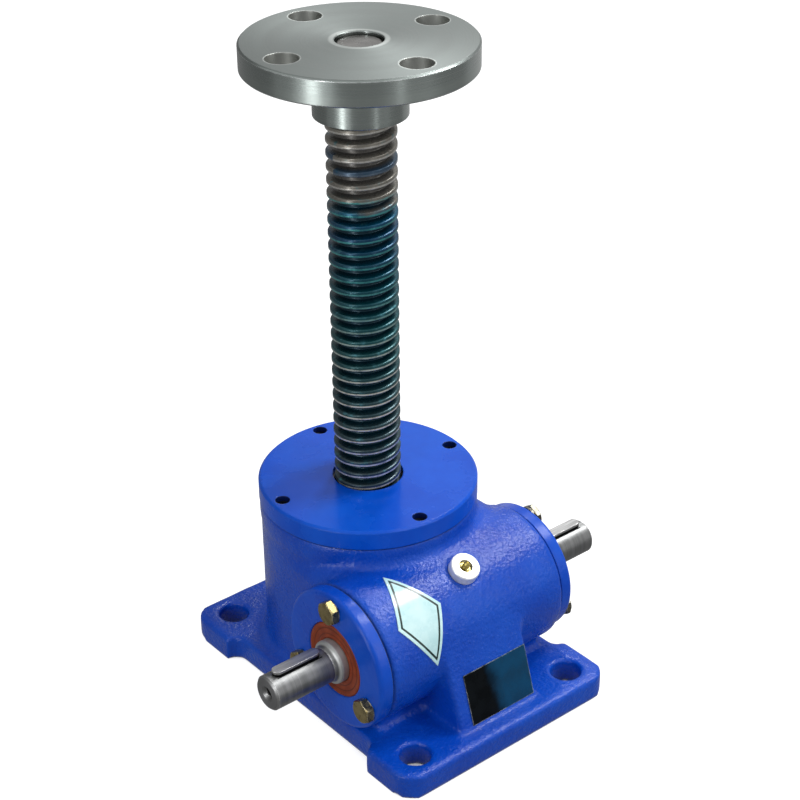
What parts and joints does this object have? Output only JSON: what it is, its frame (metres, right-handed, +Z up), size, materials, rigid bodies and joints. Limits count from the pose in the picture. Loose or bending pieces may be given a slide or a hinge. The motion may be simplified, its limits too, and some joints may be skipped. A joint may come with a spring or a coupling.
{
  "type": "worm screw jack",
  "caption": "Worm gear screw jack: cast housing on a four-hole base, cross shaft with keyed ends, and a rising trapezoidal screw with a round top flange.",
  "frame": {"origin": "on the lifting screw's axis, in the plane of the base's mounting face", "axes": "+Z up the lifting screw; X along the worm shaft, near end at -X; the worm lies on the -Y side of the screw"},
  "size_m": [0.186, 0.162, 0.2992],
  "materials": {
    "housing": "blue enamel over a sand casting",
    "top_cover": "blue enamel over turned iron",
    "cover_set_screws": "blackened steel",
    "screw_wiper": "black rubber",
    "upper_housing_washer": "hardened bearing steel",
    "lower_housing_washer": "hardened bearing steel",
    "near_outer_ring": "hardened bearing steel",
    "far_outer_ring": "hardened bearing steel",
    "near_gasket": "thin dark gasket",
    "near_end_cover": "blue enamel",
    "near_oil_seal": "brown oil-resistant rubber",
    "near_cover_bolts": "yellow zinc-plated steel",
    "far_gasket": "thin dark gasket",
    "far_end_cover": "blue enamel",
    "far_oil_seal": "brown oil-resistant rubber",
    "far_cover_bolts": "yellow zinc-plated steel",
    "grease_boss": "bright zinc-plated steel",
    "grease_nipple": "brass",
    "nameplate": "bare black anodised plate",
    "diamond_label": "pale printed film, left blank",
    "worm_shaft": "ground steel",
    "near_key": "drawn steel",
    "far_key": "drawn steel",
    "near_inner_ring": "hardened bearing steel",
    "far_inner_ring": "hardened bearing steel",
    "worm_wheel": "bronze, cut teeth",
    "upper_shaft_washer": "hardened bearing steel",
    "lower_shaft_washer": "hardened bearing steel",
    "lifting_screw": "turned steel with a teal oil film",
    "top_flange": "turned steel",
    "upper_ball_cage": "pressed cage",
    "upper_balls": "hardened bearing steel",
    "lower_ball_cage": "pressed cage",
    "lower_balls": "hardened bearing steel",
    "near_bearing_cage": "pressed cage",
    "near_bearing_balls": "hardened bearing steel",
    "far_bearing_cage": "pressed cage",
    "far_bearing_balls": "hardened bearing steel"
  },
  "bodies": {
    "frame": {"housing": "housing", "top_cover": "top_cover", "cover_set_screws": "cover_set_screws", "screw_wiper": "screw_wiper", "upper_housing_washer": "upper_housing_washer", "lower_housing_washer": "lower_housing_washer", "near_outer_ring": "near_outer_ring", "far_outer_ring": "far_outer_ring", "near_gasket": "near_gasket", "near_end_cover": "near_end_cover", "near_oil_seal": "near_oil_seal", "near_cover_bolts": "near_cover_bolts", "far_gasket": "far_gasket", "far_end_cover": "far_end_cover", "far_oil_seal": "far_oil_seal", "far_cover_bolts": "far_cover_bolts", "grease_boss": "grease_boss", "grease_nipple": "grease_nipple", "nameplate": "nameplate", "diamond_label": "diamond_label"},
    "worm": {"worm_shaft": "worm_shaft", "near_key": "near_key", "far_key": "far_key", "near_inner_ring": "near_inner_ring", "far_inner_ring": "far_inner_ring"},
    "wheel": {"worm_wheel": "worm_wheel", "upper_shaft_washer": "upper_shaft_washer", "lower_shaft_washer": "lower_shaft_washer"},
    "screw": {"lifting_screw": "lifting_screw", "top_flange": "top_flange"},
    "upper_ball_set": {"upper_ball_cage": "upper_ball_cage", "upper_balls": "upper_balls"},
    "lower_ball_set": {"lower_ball_cage": "lower_ball_cage", "lower_balls": "lower_balls"},
    "near_ball_set": {"near_bearing_cage": "near_bearing_cage", "near_bearing_balls": "near_bearing_balls"},
    "far_ball_set": {"far_bearing_cage": "far_bearing_cage", "far_bearing_balls": "far_bearing_balls"}
  },
  "joints": [
    {"name": "worm_spin", "type": "hinge", "parent": "frame", "child": "worm", "pos_m": [0, -0.046, 0.0448], "axis": [1, 0, 0], "range_deg": [-60480, 0]},
    {"name": "wheel_spin", "type": "hinge", "parent": "frame", "child": "wheel", "pos_m": [0, 0, 0.0448], "axis": [0, 0, 1], "range_deg": [0, 10080]},
    {"name": "screw_lift", "type": "slide", "parent": "frame", "child": "screw", "axis": [0, 0, 1], "range_m": [-0.168, 0]},
    {"name": "upper_ball_spin", "type": "hinge", "parent": "frame", "child": "upper_ball_set", "pos_m": [0, 0, 0.0701], "axis": [0, 0, 1], "range_deg": [0, 5040]},
    {"name": "lower_ball_spin", "type": "hinge", "parent": "frame", "child": "lower_ball_set", "pos_m": [0, 0, 0.0195], "axis": [0, 0, 1], "range_deg": [0, 5040]},
    {"name": "near_ball_spin", "type": "hinge", "parent": "frame", "child": "near_ball_set", "pos_m": [-0.044, -0.046, 0.0448], "axis": [1, 0, 0], "range_deg": [-24192, 0]},
    {"name": "far_ball_spin", "type": "hinge", "parent": "frame", "child": "far_ball_set", "pos_m": [0.044, -0.046, 0.0448], "axis": [1, 0, 0], "range_deg": [-24192, 0]}
  ],
  "couplings": [
    {"joint": "worm_spin", "follows": "wheel_spin", "ratio": -6},
    {"joint": "screw_lift", "follows": "wheel_spin", "m_per_rad": -0.00095493},
    {"joint": "upper_ball_spin", "follows": "wheel_spin", "ratio": 0.5},
    {"joint": "lower_ball_spin", "follows": "wheel_spin", "ratio": 0.5},
    {"joint": "near_ball_spin", "follows": "wheel_spin", "ratio": -2.4},
    {"joint": "far_ball_spin", "follows": "wheel_spin", "ratio": -2.4}
  ]
}
